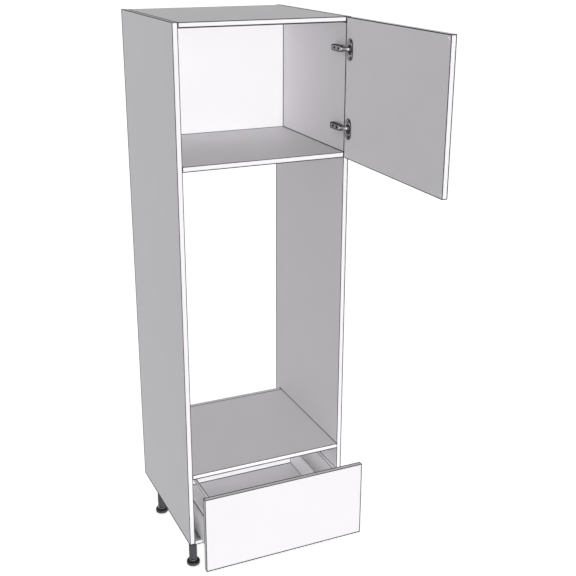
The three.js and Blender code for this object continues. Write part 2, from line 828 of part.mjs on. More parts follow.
function runners() {
  const pairs = Object.entries(sides);
  const middles = pairs.map(([name, side]) => middleMember(name, side));
  return [
    ...pairs.map(([name, side]) => cabinetMember(name, side)),
    placed(0, -drawerPull / 2, 0, 0, middles),
  ];
}

const cabinet = placed(0, -carcassDepth / 2, -ovenShelfTop, 0, [
  ...sidePanels(),
  bottomPanel(),
  ...carcassBoards(),
  ...legs(),
  ...hinges(),
  door(),
  ...runners(),
  drawer(),
]);

export default cabinet;
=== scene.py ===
"""Dresses the oven housing cabinet: finishes, rounded arrises, screws, feet and the studio"""

import math

import bmesh
import bpy
from mathutils import Matrix, Vector


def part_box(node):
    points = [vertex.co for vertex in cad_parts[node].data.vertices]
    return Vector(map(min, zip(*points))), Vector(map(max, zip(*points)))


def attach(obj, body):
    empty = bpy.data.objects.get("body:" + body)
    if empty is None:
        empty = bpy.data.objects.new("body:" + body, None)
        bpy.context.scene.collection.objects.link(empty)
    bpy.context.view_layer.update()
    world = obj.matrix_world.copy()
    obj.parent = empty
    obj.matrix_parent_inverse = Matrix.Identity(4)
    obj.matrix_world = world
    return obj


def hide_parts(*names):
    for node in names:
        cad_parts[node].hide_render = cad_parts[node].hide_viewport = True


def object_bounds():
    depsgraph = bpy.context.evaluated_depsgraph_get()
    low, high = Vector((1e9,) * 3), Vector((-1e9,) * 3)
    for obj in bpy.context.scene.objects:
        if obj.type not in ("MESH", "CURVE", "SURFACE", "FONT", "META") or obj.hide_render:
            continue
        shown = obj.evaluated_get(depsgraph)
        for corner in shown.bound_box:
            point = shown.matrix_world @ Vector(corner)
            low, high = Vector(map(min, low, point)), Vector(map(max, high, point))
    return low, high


bl_info = {
    "name": "Oven Housing Cabinet",
    "version": (1, 0, 0),
    "blender": (4, 5, 0),
    "location": "3D View > Sidebar > Cabinet",
    "description": "Finishes, fittings and studio for a tall oven housing cabinet",
    "category": "Object",
}

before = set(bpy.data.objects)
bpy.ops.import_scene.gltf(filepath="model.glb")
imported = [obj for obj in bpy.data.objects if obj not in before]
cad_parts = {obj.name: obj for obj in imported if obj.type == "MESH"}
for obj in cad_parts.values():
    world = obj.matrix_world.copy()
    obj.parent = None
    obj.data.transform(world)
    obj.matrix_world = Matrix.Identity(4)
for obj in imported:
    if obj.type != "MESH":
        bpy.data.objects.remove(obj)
CAD_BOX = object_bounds()
MM = 0.001
ACROSS, DEEP, UP = range(3)

# The pieces
SIDE_PANELS = ("side_panel_left", "side_panel_right")
BACK_PANELS = ("upper_back_panel", "lower_back_panel")
CROSS_BOARDS = ("top_panel", "upper_shelf", "oven_shelf", "bottom_panel") + BACK_PANELS
CORNERS = ("front_left", "front_right", "rear_left", "rear_right")
HINGES = ("lower", "upper")
HINGE_PARTS = ("plate", "arm", "cup", "outer_link", "inner_link")
# Which way each side lies from the middle
SIDES = {"left": -1, "right": 1}
# The screws that go through the face of a hinge part
HINGE_SCREWS = {
    "cup": ("cup_screw_{}_1", "cup_screw_{}_2"),
    "arm": ("adjusting_screw_{}_front", "adjusting_screw_{}_rear"),
}
# Where the screws of a runner sit, as shares of its length
RUNNER_SCREWS = (0.08, 0.5, 0.85)

# The joint line beside each face of a board, times the usual: left, front, under, right, rear, top
LINE_SHARES = {
    "side_panel_left": (1, 1, 3.6, 1.3, 4, 1),
    "side_panel_right": (1, 1, 1.5, 1.8, 3.5, 1),
    "top_panel": (1.5, 1.3, 2.3, 1.5, 4.5, 1.3),
    "upper_shelf": (1, 1, 1.7, 1, 1, 1),
    "oven_shelf": (1, 1, 2.2, 0.4, 1, 1),
    "bottom_panel": (1, 1, 1.8, 1, 1, 1),
    "upper_back_panel": (1, 1, 1, 0.9, 1, 1),
    "door_panel": (1, 1, 1.5, 1.8, 1, 1.5),
    "drawer_front": (1.2, 1.4, 2.4, 2, 2.7, 1),
}
EVEN_SHARES = (1, 1, 1, 1, 1, 1)
ARM_SHARES = (1, 2, 1.2, 1, 2, 1.2)
# The width of a hinge part's dark line, times the usual, and how dark the painted shade on its
# deeper surfaces is
HINGE_LINES = {"cup": (0.9, 0.55), "arm": (1.0, 0.5), "outer_link": (1.0, 0.0)}
# The share of the joint line's colour in a board's upper face: painted shade that makes the upper
# face darker than the other faces
PAINTED_TOP_SHADE = {
    "side_panel_left": 0.5,
    "side_panel_right": 0.5,
    "top_panel": 0.215,
    "upper_shelf": 0.21,
    "drawer_floor": 0.18,
}
# Painted highlight bands of a foot: from and to which height above the ground, and how many times
# paler
FOOT_HIGHLIGHTS = ((1.5 * MM, 11 * MM, 6), (16.4 * MM, 20.4 * MM, 10))

# The share of a line's width over which it fades out
LINE_FADE = 0.3
# How near a face a point is on it, in arris radii: its rounded arris counted in, or left out
FACE_REACH = 1.2
BARE_FACE_REACH = 0.5
# A gallery rail's lower line of painted shade, times its upper one, and how far past its middle
# both end, in radii
LOWER_RAIL_LINE = 0.65
RAIL_LINE_END = 0.25
# Where the painted shade on the deeper surfaces of a hinge part begins, in arris radii behind its
# face
DEEPER_START = 4
# The length of the painted shade ring round a hinge screw, times its height
RING_STRETCH = 1.4

# The least roughness of the finishes, and the share of light that the duller ones reflect
ROUGHNESS = {
    "board": 0.36,
    "coat": 0.32,
    "steel": 0.3,
    "screw": 0.3,
    "leg": 0.4,
    "foot": 0.35,
    "buffer": 0.3,
    "floor": 0.9,
}
SPECULAR = {"board": 0.05, "coat": 0.3, "plastic": 0.2, "floor": 0.0}
STEEL_GLANCING = 0.5
SCREW_GLANCING = 0.4

# Sizes of the patches and grains of the finishes
BOARD_CLOUD = 180 * MM
BOARD_HANDLING = 60 * MM
BOARD_WAVE = 14 * MM
BOARD_PEARL = 0.9 * MM
COAT_CLOUD = 120 * MM
COAT_HANDLING = 30 * MM
COAT_PEEL = 1.1 * MM
STEEL_CLOUD = 12 * MM
STEEL_TARNISH = 4 * MM
NICKEL_MARKS = 0.6 * MM
ZINC_MARKS = 0.8 * MM
SCREW_WEAR = 1.5 * MM
SCREW_CLOUD = 0.8 * MM
SCREW_GRAIN = 0.6 * MM
PLASTIC_RUBBING = 20 * MM
PLASTIC_HANDLING = 10 * MM
LEG_GRAIN = 0.7 * MM
BUFFER_GRAIN = 0.5 * MM
# How deep the grains are
WAVE_DEPTH = 0.02 * MM
PEARL_DEPTH = 0.012 * MM
PEEL_DEPTH = 0.03 * MM
MARK_DEPTH = 0.01 * MM
PLASTIC_DEPTH = 0.03 * MM
# How far the grains are drawn out across, in depth and upwards: the smaller, the longer
CHIP_STRETCH = (0.45, 1.0, 0.9)
SPLINTER_STRETCH = (0.4, 1.0, 1.0)
MARK_STRETCH = (1.0, 0.06, 1.0)
SPLINTERS_PER_CHIP = 5
CHIP_HEIGHT = 2.5

# Rounded arrises, turned pieces and screw heads
WELD_REACH = 0.001 * MM
ARRIS_STEPS = 2
ARRIS_ANGLE = math.radians(40)
SMOOTH_ANGLE = math.radians(35)
BUFFER_FACETS = 24
FOOT_FACETS = 64
# The rounding of a buffer's edge, times its height
BUFFER_ROUNDING = 0.6
# The length of a recess arm, times the screw head's radius
RECESS_REACH = 1.2

# Sockets of a Mix node that is set to colours
MIX_SHARE, MIX_FIRST, MIX_SECOND, MIX_RESULT = 0, 6, 7, 2
SENSOR_WIDTH = 36.0


# Values that a user may change


def length(label, words, millimetres):
    """A length property, kept in metres"""
    return bpy.props.FloatProperty(
        name=label, description=words, default=millimetres * MM, min=0.0, precision=5,
        subtype="DISTANCE", unit="LENGTH",
    )


def angle(label, words, degrees):
    """An angle property, kept in radians"""
    return bpy.props.FloatProperty(
        name=label, description=words, default=math.radians(degrees),
        subtype="ANGLE", unit="ROTATION",
    )


def level(label, words, value):
    """A share of full white"""
    return bpy.props.FloatProperty(
        name=label, description=words, default=value, min=0.0, subtype="FACTOR",
    )


def colour(label, words, value):
    """A colour property"""
    return bpy.props.FloatVectorProperty(
        name=label, description=words, default=value, size=3, min=0.0, max=1.0,
        subtype="COLOR",
    )


class CabinetSizes(bpy.types.PropertyGroup):
    """Sizes of the fittings, the roundings and the dark lines"""

    board_arris: length("Board arris", "Radius of the rounded arrises of the boards", 0.5)
    sheet_arris: length("Sheet arris", "Radius of the rounded edges of the metal parts", 0.3)
    plastic_arris: length("Plastic arris", "Radius of the rounded edges of the legs", 0.6)
    joint_line: length("Joint line", "Usual width of the dark line beside a board's arris", 2.2)
    # The seam is a dark joint with painted contact shade along it
    seam: length("Seam", "Width of the dark seam round each board that meets another", 3.0)
    # Painted shade: the door line darkens the panel's front edge behind the open door
    door_line: length("Door line", "Width of the dark line behind the open door's edge", 4.0)
    hinge_line: length("Hinge line", "Usual width of the dark line along a hinge's arrises", 2.6)
    # Painted shade in a cup's bowl: where it starts and over what depth it fades in
    bowl_start: length("Bowl start", "How far ahead of a cup's middle its dark bowl starts", 5.0)
    bowl_fade: length("Bowl fade", "Over what depth a cup's bowl turns dark", 3.0)
    side_lean: length("Side lean", "How far in from its outer face a drawer side's crest is", 12)
    coat_line: length("Coat line", "Width of the dark lines along the drawer sides", 2.8)
    rail_line: length("Rail line", "How far in from a rail's side its dark line reaches", 3.0)
    rail_turn: angle("Rail turn", "How far above level a gallery rail's dark line lies", 33)
    chip: length("Chip", "Size of the wood chips on a raw board edge", 3.0)
    screw_radius: length("Screw radius", "Head radius of the screws in the runners", 3.5)
    # Painted shade: a dark ring round each hinge screw
    screw_shade_ring: length("Screw ring", "Width of the dark ring round a screw of a hinge", 2.0)
    screw_rise: length("Screw rise", "How far a screw head stands above its seat", 1.25)
    recess_width: length("Recess width", "Width of the arms of a screw's cross recess", 1.1)
    recess_depth: length("Recess depth", "Depth of a screw's cross recess", 0.8)
    runner_sheet: length("Runner sheet", "Thickness of the runners' sheet steel", 1.5)
    runner_screw_drop: length("Screw drop", "How far under a runner's top its screws sit", 8.0)
    foot_edge: length("Foot edge", "Radius of the rounded edges of the feet", 3.5)
    foot_disc: length("Foot disc", "Height of a foot's disc", 16.0)
    foot_shoulder: length("Foot shoulder", "Height of the shoulder on a foot's disc", 16.5)
    foot_neck: length("Foot neck", "Radius of a foot's neck", 12.0)
    foot_stem: length("Foot stem", "Radius of a foot's stem", 9.25)


class CabinetColours(bpy.types.PropertyGroup):
    """Colours of the finishes"""

    board: colour("Board", "White melamine face", (0.913, 0.897, 0.917))
    joint_line: colour("Joint line", "Dark joint along an edge strip", (0.04, 0.038, 0.045))
    chip_pale: colour("Pale chips", "Palest chips on a raw board edge", (0.62, 0.47, 0.3))
    chip_dark: colour("Dark chips", "Darkest chips on a raw board edge", (0.3, 0.2, 0.11))
    drawer_coat: colour("Drawer coat", "Powder coat of sides and rails", (0.93, 0.92, 0.935))
    runner_zinc: colour("Runner zinc", "Zinc plating of the runners", (0.62, 0.63, 0.64))
    hinge_nickel: colour("Hinge nickel", "Nickel plating of the hinges", (0.42, 0.415, 0.43))
    hinge_line: colour("Hinge line", "Dark line on the hinges", (0.012, 0.012, 0.014))
    screw: colour("Screw", "Black plating of the screws", (0.012, 0.012, 0.013))
    leg_plastic: colour("Leg plastic", "Plastic of leg tubes and sockets", (0.072, 0.069, 0.077))
    foot_plastic: colour("Foot plastic", "Moulded plastic of the feet", (0.016, 0.0154, 0.017))
    buffer_plastic: colour("Buffer plastic", "Soft plastic of the door buffers", (0.8, 0.8, 0.8))


class CabinetStudio(bpy.types.PropertyGroup):
    """The camera, the lamps and the floor"""

    camera_place: bpy.props.FloatVectorProperty(
        name="Camera place", description="Where the camera stands",
        default=(-1.23246, -3.1717, 1.80035), size=3, subtype="TRANSLATION", unit="LENGTH",
    )
    camera_turn: angle("Camera turn", "The camera's turn from straight ahead to the right", 24.42)
    camera_dip: angle("Camera dip", "How far the camera looks down", 19.99)
    camera_roll: angle("Camera roll", "The camera's roll about its line of sight", 0.22)
    lens: bpy.props.FloatProperty(
        name="Lens", description="Focal length for a 36 mm sensor", default=61.88, min=1.0,
        unit="CAMERA",
    )
    sky: level("Sky", "Light from all round, as a share of full white", 0.41)
    key_light: level("Key light", "Light from straight ahead that casts the shadows", 0.11)
    key_spread: angle("Key spread", "Apparent size of the key light", 24.0)
    key_dip: angle("Key dip", "How far the key light shines down", 5.0)
    front_fill: level("Front fill", "Even light on faces towards the front and back", 0.565)
    side_fill: level("Side fill", "Even light on faces towards the sides", 0.065)
    top_fill: level("Top fill", "Even light on faces towards the top", 0.045)
    floor_glow: level("Floor glow", "Level added to the floor as the camera sees it", 0.7)
    floor_half: length("Floor half width", "Half the width of the floor", 60000)
    floor: colour("Floor", "The pale floor", (0.86, 0.86, 0.87))


# Node trees written as expressions


class Wire:
    """A node's output that can be used in sums, products and comparisons"""

    def __init__(self, sheet, socket):
        self.sheet = sheet
        self.socket = socket

    def joined(self, operation, *values, held=False):
        settings = {"operation": operation, "use_clamp": held}
        node = self.sheet.node("ShaderNodeMath", settings, dict(enumerate(values)))
        return self.sheet.wire(node)

    def __add__(self, other):
        return self.joined("ADD", self, other)

    def __radd__(self, other):
        return self.joined("ADD", other, self)

    def __sub__(self, other):
        return self.joined("SUBTRACT", self, other)

    def __rsub__(self, other):
        return self.joined("SUBTRACT", other, self)

    def __mul__(self, other):
        return self.joined("MULTIPLY", self, other)

    def __rmul__(self, other):
        return self.joined("MULTIPLY", other, self)

    def __truediv__(self, other):
        return self.joined("DIVIDE", self, other)

    def __pow__(self, exponent):
        return self.joined("POWER", self, exponent)

    def __abs__(self):
        return self.joined("ABSOLUTE", self)

    def __gt__(self, other):
        return self.joined("GREATER_THAN", self, other)

    def __lt__(self, other):
        return self.joined("LESS_THAN", self, other)

    def least(self, other):
        return self.joined("MINIMUM", self, other)

    def most(self, other):
        return self.joined("MAXIMUM", self, other)

    def held(self):
        """The value kept between 0 and 1"""
        return self.joined("ADD", self, 0.0, held=True)


class Sheet:
    """A node tree, with one method that makes any node"""

    def __init__(self, tree):
        self.tree = tree

    def node(self, kind, settings=None, inputs=None):
        made = self.tree.nodes.new(kind)
        for name, value in (settings or {}).items():
            setattr(made, name, value)
        for name, value in (inputs or {}).items():
            self.feed(made.inputs[name], value)
        return made

    def feed(self, socket, value):
        """Links a wire to a socket, or sets the socket's own value"""
        if isinstance(value, Wire):
            self.tree.links.new(value.socket, socket)
        elif value is not None:
            socket.default_value = value

    def wire(self, node, output=0):
        return Wire(self, node.outputs[output])


class Finish(Sheet):
    """A surface under construction, read from the piece's own coordinates

    glancing is how bright a metal stays where it is seen almost edge on.
    """

    def __init__(self, name, metallic=0.0, specular=0.5, glancing=1.0):
        self.material = bpy.data.materials.new(name)
        self.material.use_nodes = True
        super().__init__(self.material.node_tree)
        self.shader = self.tree.nodes["Principled BSDF"]
        self.feed(self.shader.inputs["Metallic"], metallic)
        self.feed(self.shader.inputs["Specular IOR Level"], specular)
        self.feed(self.shader.inputs["Specular Tint"], (glancing, glancing, glancing, 1.0))
        self.place = self.wire(self.node("ShaderNodeTexCoord"), "Object")
        split = self.node("ShaderNodeSeparateXYZ", inputs={0: self.place})
        self.axes = [self.wire(split, axis) for axis in range(3)]

    def stretched(self, scale):
        """The coordinates times three numbers"""
        inputs = {0: self.place, 1: scale}
        return self.wire(self.node("ShaderNodeVectorMath", {"operation": "MULTIPLY"}, inputs))

    def noise(self, grain, detail=2.0, stretch=(1.0, 1.0, 1.0)):
        """Noise around a half, whose features are about one grain across"""
        inputs = {"Vector": self.stretched(stretch), "Scale": 1 / grain, "Detail": detail}
        return self.wire(self.node("ShaderNodeTexNoise", inputs=inputs))

    def patches(self, grain, detail, gain, loss):
        """Noise spread out to patches between 0 and 1, of which the loss hides a part"""
        return (self.noise(grain, detail) * gain - loss).held()

    def cells(self, grain, stretch=(1.0, 1.0, 1.0)):
        """Distance from the middle of the nearest cell"""
        inputs = {"Vector": self.stretched(stretch), "Scale": 1 / grain}
        return self.wire(self.node("ShaderNodeTexVoronoi", inputs=inputs), "Distance")

    def mixed(self, share, first, second):
        """A colour between two others"""
        node = self.node("ShaderNodeMix", {"data_type": "RGBA"}, {MIX_SHARE: share})
        for slot, value in ((MIX_FIRST, first), (MIX_SECOND, second)):
            self.feed(node.inputs[slot], value if isinstance(value, Wire) else (*value, 1.0))
        return self.wire(node, MIX_RESULT)

    def coloured(self, base, *tints):
        """A base colour and tints over it: where each one is, how strong, and its colour"""
        result = base
        for where, strength, tint in tints:
            result = self.mixed(where * strength, result, tint)
        self.feed(self.shader.inputs["Base Color"], result)

    def rough(self, least, *layers):
        """The least roughness and layers on it: where each one is, and how much it adds"""
        result = least
        for where, more in layers:
            result = where * more + result
        self.feed(self.shader.inputs["Roughness"], result)

    def raised(self, *layers):
        """Bumps in layers of height between 0 and 1, and depth in metres"""
        normal = None
        for height, depth in layers:
            inputs = {"Height": height, "Distance": depth, "Normal": normal}
            normal = self.wire(self.node("ShaderNodeBump", inputs=inputs))
        self.feed(self.shader.inputs["Normal"], normal)


class Pattern(Sheet):
    """A geometry node tree with named inputs"""

    def __init__(self, name, inputs):
        super().__init__(bpy.data.node_groups.new(name, "GeometryNodeTree"))
        face = self.tree.interface
        face.new_socket("Geometry", in_out="OUTPUT", socket_type="NodeSocketGeometry")
        face.new_socket("Geometry", in_out="INPUT", socket_type="NodeSocketGeometry")
        self.sockets = {
            label: face.new_socket(label, in_out="INPUT", socket_type=kind)
            for label, kind in inputs.items()
        }
        self.start = self.node("NodeGroupInput")
        self.end = self.node("NodeGroupOutput")

    def given(self, label):
        """The input with this name"""
        return self.wire(self.start, label)

    def triple(self, x, y, z):
        """Three numbers as a vector"""
        return self.wire(self.node("ShaderNodeCombineXYZ", inputs={"X": x, "Y": y, "Z": z}))

    def moved(self, geometry, inputs):
        """The geometry, shifted or scaled"""
        inputs = {"Geometry": geometry, **inputs}
        return self.wire(self.node("GeometryNodeTransform", inputs=inputs))

    def finished(self, *geometry):
        """Joins and realizes the geometry, gives it its material and ends the tree"""
        together = self.node("GeometryNodeJoinGeometry")
        for piece in geometry:
            self.tree.links.new(piece.socket, together.inputs[0])
        real = self.node("GeometryNodeRealizeInstances", inputs={"Geometry": self.wire(together)})
        inputs = {"Geometry": self.wire(real), "Material": self.given("Finish")}
        finished = self.node("GeometryNodeSetMaterial", inputs=inputs)
        self.feed(self.end.inputs[0], self.wire(finished))

    def made_on(self, name, carrier, values):
        """The pattern's result on a carrier mesh, as a plain mesh"""
        obj = bpy.data.objects.new(name, carrier)
        bpy.context.scene.collection.objects.link(obj)
        modifier = obj.modifiers.new(name, "NODES")
        modifier.node_group = self.tree
        for label, value in values.items():
            modifier[self.sockets[label].identifier] = value
        shown = obj.evaluated_get(bpy.context.evaluated_depsgraph_get())
        mesh = bpy.data.meshes.new_from_object(shown)
        obj.modifiers.remove(modifier)
        bpy.data.objects.remove(obj)
        mesh.name = name
        return mesh


# Finishes


def shaded(base, share):
    """A colour made darker or brighter by a share, up to full white"""
    return tuple(min(1.0, part * share) for part in base)


def arris_distance(finish, low, high, shares=EVEN_SHARES):
    """How far a point on a box is from the nearest arris, each distance divided by its share"""
    nearest = []
    for axis, place in enumerate(finish.axes):
        from_low = (place - low[axis]) / shares[axis]
        from_high = (high[axis] - place) / shares[axis + 3]
        nearest.append(from_low.least(from_high))
    x, y, z = nearest
    # A point on a face is at 0 from that face, so the middle value is its way to the arris
    return x.least(y).most(x.most(y).least(z))


def within(width, distance):
    """1 inside a line of the given width, with a soft edge"""
    return ((width - distance) / (width * LINE_FADE)).held()


def seams(finish, node, sizes):
    """Dark seams with painted contact shade on a side panel's inner face, round the ends of the
    boards that meet it
    """
    low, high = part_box(node)
    inner = high[ACROSS] if high[ACROSS] < 0 else low[ACROSS]
    across, deep, up = finish.axes
    lines = 0.0
    for board in CROSS_BOARDS:
        # Both are below 0 behind the board's end, so what the board hides is dark as well
        (_, front, under), (_, rear, top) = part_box(board)
        in_depth = abs(deep - (front + rear) / 2) - (rear - front) / 2
        in_height = abs(up - (under + top) / 2) - (top - under) / 2
        lines = within(sizes.seam, in_depth.most(in_height)).most(lines)
    return lines * (abs(across - inner) < sizes.board_arris * FACE_REACH)


def door_edge_line(finish, node, sizes):
    """Painted shade on the front edge of the panel that carries the door, in the gap beside the
    open door
    """
    low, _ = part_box(node)
    across, deep, up = finish.axes
    beside_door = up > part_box("door_panel")[0][UP]
    in_front = deep < low[DEEP] + sizes.board_arris * FACE_REACH
    return within(sizes.door_line, across - low[ACROSS]) * beside_door * in_front


def board_lines(finish, node, sizes):
    """Dark lines on a board beside its arrises, dark seams with painted contact shade where
    another board meets it, and painted shade beside the open door
    """
    shares = LINE_SHARES.get(node, EVEN_SHARES)
    line = within(sizes.joint_line, arris_distance(finish, *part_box(node), shares))
    if node in SIDE_PANELS:
        line = line.most(seams(finish, node, sizes))
    if node == "side_panel_right":
        line = line.most(door_edge_line(finish, node, sizes))
    if node == "drawer_back":
        # A dark seam with painted contact shade where the drawer floor meets the back
        floor_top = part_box("drawer_floor")[1][UP]
        line = line.most(within(sizes.seam, abs(finish.axes[UP] - floor_top)))
    return line


def chipboard(finish, sizes, colours):
    """The colour and the height of raw chipboard"""
    chips = finish.cells(sizes.chip, CHIP_STRETCH)
    splinters = finish.noise(sizes.chip / SPLINTERS_PER_CHIP, detail=4.0, stretch=SPLINTER_STRETCH)
    chip_tone, splinter_tone, dark_tone = 0.75, 0.7, 0.25
    pale = (chips * chip_tone + splinters * splinter_tone - dark_tone).held()
    colour_of_chips = finish.mixed(pale, colours.chip_dark, colours.chip_pale)
    return colour_of_chips, chips * CHIP_HEIGHT + splinters


def melamine(node, sizes, colours, raw_rear=False):
    """White melamine with dark lines, painted shade on some upper faces, a faint pearl texture,
    and a raw rear edge if asked
    """
    finish = Finish(f"melamine_{node}", specular=SPECULAR["board"])
    _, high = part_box(node)
    line = board_lines(finish, node, sizes)
    pearl = finish.noise(BOARD_PEARL)
    tints = [(finish.noise(BOARD_CLOUD, detail=3.0), 0.8, shaded(colours.board, 0.96))]
    # Painted shade: the upper face of some boards is made darker than their other faces
    if node in PAINTED_TOP_SHADE:
        upper = finish.axes[UP] > high[UP] - sizes.board_arris * BARE_FACE_REACH
        tints.append((upper, PAINTED_TOP_SHADE[node], colours.joint_line))
    tints.append((line, 1.0, colours.joint_line))
    matt = [(finish.noise(BOARD_HANDLING, detail=4.0), 0.12), (line, 0.25)]
    if raw_rear:
        raw = finish.axes[DEEP] > high[DEEP] - sizes.board_arris * BARE_FACE_REACH
        chips, height = chipboard(finish, sizes, colours)
        tints.append((raw, 1.0, chips))
        matt.append((raw, 0.4))
        pearl = pearl + raw * height
    finish.coloured(colours.board, *tints)
    finish.rough(ROUGHNESS["board"], *matt)
    finish.raised((finish.noise(BOARD_WAVE, detail=1.0), WAVE_DEPTH), (pearl, PEARL_DEPTH))
    return finish.material


def coat_finish(name):
    """The start of a powder coat"""
    return Finish(name, specular=SPECULAR["coat"])


def powder_coat(finish, colours, *tints):
    """Pale powder coat with a fine orange peel, and more tints over it if they are given"""
    cloud = (finish.noise(COAT_CLOUD), 1.0, shaded(colours.drawer_coat, 0.95))
    finish.coloured(colours.drawer_coat, cloud, *tints)
    finish.rough(ROUGHNESS["coat"], (finish.noise(COAT_HANDLING, detail=3.0), 0.14))
    finish.raised((finish.noise(COAT_PEEL), PEEL_DEPTH))
    return finish.material


def side_coat(side, sizes, colours):
    """Powder coat of a drawer side, dark along its lower outer arris and its crest"""
    finish = coat_finish(f"side_coat_{side}")
    low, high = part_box(f"drawer_side_{side}")
    outside = high[ACROSS] if side == "right" else low[ACROSS]
    crest = outside - SIDES[side] * sizes.side_lean
    line = 0.0
    for across, up in ((outside, low[UP]), (crest, high[UP])):
        aside, above = finish.axes[ACROSS] - across, finish.axes[UP] - up
        line = within(sizes.coat_line, (aside * aside + above * above) ** 0.5).most(line)
    return powder_coat(finish, colours, (line, 1.0, colours.joint_line))


def rail_coat(side, sizes, colours):
    """Powder coat of a gallery rail, with painted shade as dark lines on its upper right and lower
    left flanks
    """
    finish = coat_finish(f"rail_coat_{side}")
    low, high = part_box(f"gallery_rail_{side}")
    middle, radius = (low + high) / 2, (high[UP] - low[UP]) / 2
    right, up = math.cos(sizes.rail_turn), math.sin(sizes.rail_turn)
    aside, above = finish.axes[ACROSS] - middle[ACROSS], finish.axes[UP] - middle[UP]
    to_upper_right = aside * right + above * up
    to_upper_left = above * right - aside * up
    # Painted shade: dark lines along the round rail's flanks
    line = within(sizes.rail_line, radius - to_upper_right)
    line = line.most(within(sizes.rail_line * LOWER_RAIL_LINE, radius + to_upper_right))
    line = line * (to_upper_left > -radius * RAIL_LINE_END)
    return powder_coat(finish, colours, (line, 1.0, colours.joint_line))


def steel_finish(name):
    """The start of a plated finish, which doesn't brighten where it is seen almost edge on"""
    return Finish(name, metallic=1.0, glancing=STEEL_GLANCING)


def plated_steel(finish, base, mark_size, *tints):
    """Plated steel with drawing marks in depth and a cloudy sheen, and more tints if given"""
    marks = finish.noise(mark_size, detail=3.0, stretch=MARK_STRETCH)
    tarnish = finish.patches(STEEL_TARNISH, detail=4.0, gain=1.8, loss=0.7)
    worn = ((marks, 0.5, shaded(base, 0.7)), (tarnish, 0.3, shaded(base, 0.5)))
    finish.coloured(base, *worn, *tints)
    finish.rough(ROUGHNESS["steel"], (finish.noise(STEEL_CLOUD, detail=3.0), 0.2), (marks, 0.12))
    finish.raised((marks, MARK_DEPTH))
    return finish.material


def rim_distance(finish, low, high):
    """How far a point is inside the rim of a hinge's long round-ended flange"""
    radius = (high[DEEP] - low[DEEP]) / 2
    middle = (low + high) / 2
    across = finish.axes[DEEP] - middle[DEEP]
    straight = (high[UP] - low[UP]) / 2 - radius
    along = (abs(finish.axes[UP] - middle[UP]) - straight).most(0.0)
    return radius - (across * across + along * along) ** 0.5


def hinge_outline(finish, kind, low, high):
    """How far a point of a hinge part is from the arrises or the rim that are drawn dark"""
    if kind == "cup":
        return rim_distance(finish, low, high)
    if kind == "arm":
        return arris_distance(finish, low, high, ARM_SHARES)
    return (finish.axes[UP] - low[UP]).least(high[UP] - finish.axes[UP])


def painted_recess_shade(finish, kind, low, high, sizes):
    """Where painted shade falls on a hinge part: 1 behind its face, and for a cup only in the bowl
    """
    behind = finish.axes[ACROSS] - low[ACROSS] - sizes.sheet_arris * DEEPER_START
    deeper = (behind / sizes.sheet_arris).held()
    if kind == "cup":
        middle = (low[DEEP] + high[DEEP]) / 2
        past_rim = finish.axes[DEEP] - middle + sizes.bowl_start
        deeper = deeper * (past_rim / sizes.bowl_fade).held()
    return deeper


def screw_shade_ring(finish, screw, sizes):
    """A ring of painted shade round a screw of a hinge, a little longer than high"""
    low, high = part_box(screw)
    _, deep, up = centre(screw)
    along, above = (finish.axes[DEEP] - deep) / RING_STRETCH, finish.axes[UP] - up
    width = (high[UP] - low[UP]) / 2 + sizes.screw_shade_ring
    return within(width, (along * along + above * above) ** 0.5)


def hinge_screws(kind, height):
    """The screws that go through the face of a hinge part"""
    return [name.format(height) for name in HINGE_SCREWS.get(kind, ())]


def hinge_steel(kind, height, sizes, colours):
    """Nickel plating, dark along arrises or rim, with painted shade on deeper surfaces and round
    the screws
    """
    node = f"hinge_{kind}_{height}"
    low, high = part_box(node)
    finish = steel_finish(f"nickel_{node}")
    width, depth_shade = HINGE_LINES[kind]
    line = within(sizes.hinge_line * width, hinge_outline(finish, kind, low, high))
    if depth_shade:
        line = line.most(painted_recess_shade(finish, kind, low, high, sizes) * depth_shade)
    for screw in hinge_screws(kind, height):
        line = line.most(screw_shade_ring(finish, screw, sizes))
    tint = (line, 1.0, colours.hinge_line)
    return plated_steel(finish, colours.hinge_nickel, NICKEL_MARKS, tint)


def screw_plating(colours):
    """Dark plating, worn brighter in spots"""
    finish = Finish("dark_screw_plating", metallic=1.0, glancing=SCREW_GLANCING)
    worn = finish.patches(SCREW_WEAR, detail=3.0, gain=2.2, loss=1.0)
    finish.coloured(colours.screw, (worn, 0.5, shaded(colours.screw, 2.2)))
    finish.rough(ROUGHNESS["screw"], (finish.noise(SCREW_CLOUD), 0.25))
    finish.raised((finish.noise(SCREW_GRAIN), MARK_DEPTH))
    return finish.material


def moulded_plastic(name, base, grain, roughness, highlight_bands=()):
    """Moulded plastic with a fine eroded grain, paler rubbed patches, and painted highlight bands
    if given
    """
    finish = Finish(name, specular=SPECULAR["plastic"])
    rubbed = finish.patches(PLASTIC_RUBBING, detail=4.0, gain=1.6, loss=0.6)
    tints = [(rubbed, 0.4, shaded(base, 1.35))]
    for under, top, paler in highlight_bands:
        band = within((top - under) / 2, abs(finish.axes[UP] - (under + top) / 2))
        tints.append((band, 1.0, shaded(base, paler)))
    finish.coloured(base, *tints)
    finish.rough(roughness, (finish.noise(PLASTIC_HANDLING, detail=3.0), 0.12))
    finish.raised((finish.noise(grain), PLASTIC_DEPTH))
    return finish.material


def seen_directly(sheet):
    """1 where the camera, a reflection or a clear piece looks, 0 for scattered light"""
    path = sheet.node("ShaderNodeLightPath")
    rays = [sheet.wire(path, f"Is {kind} Ray") for kind in ("Camera", "Glossy", "Transmission")]
    return rays[0].most(rays[1]).most(rays[2])


def seen_as(sheet, lighting, shown, output):
    """Gives a floor or sky one shader for the light that it scatters, and another to look at"""
    inputs = {0: seen_directly(sheet), 1: sheet.wire(lighting), 2: sheet.wire(shown)}
    mixed = sheet.node("ShaderNodeMixShader", inputs=inputs)
    sheet.feed(sheet.tree.nodes[output].inputs["Surface"], sheet.wire(mixed))


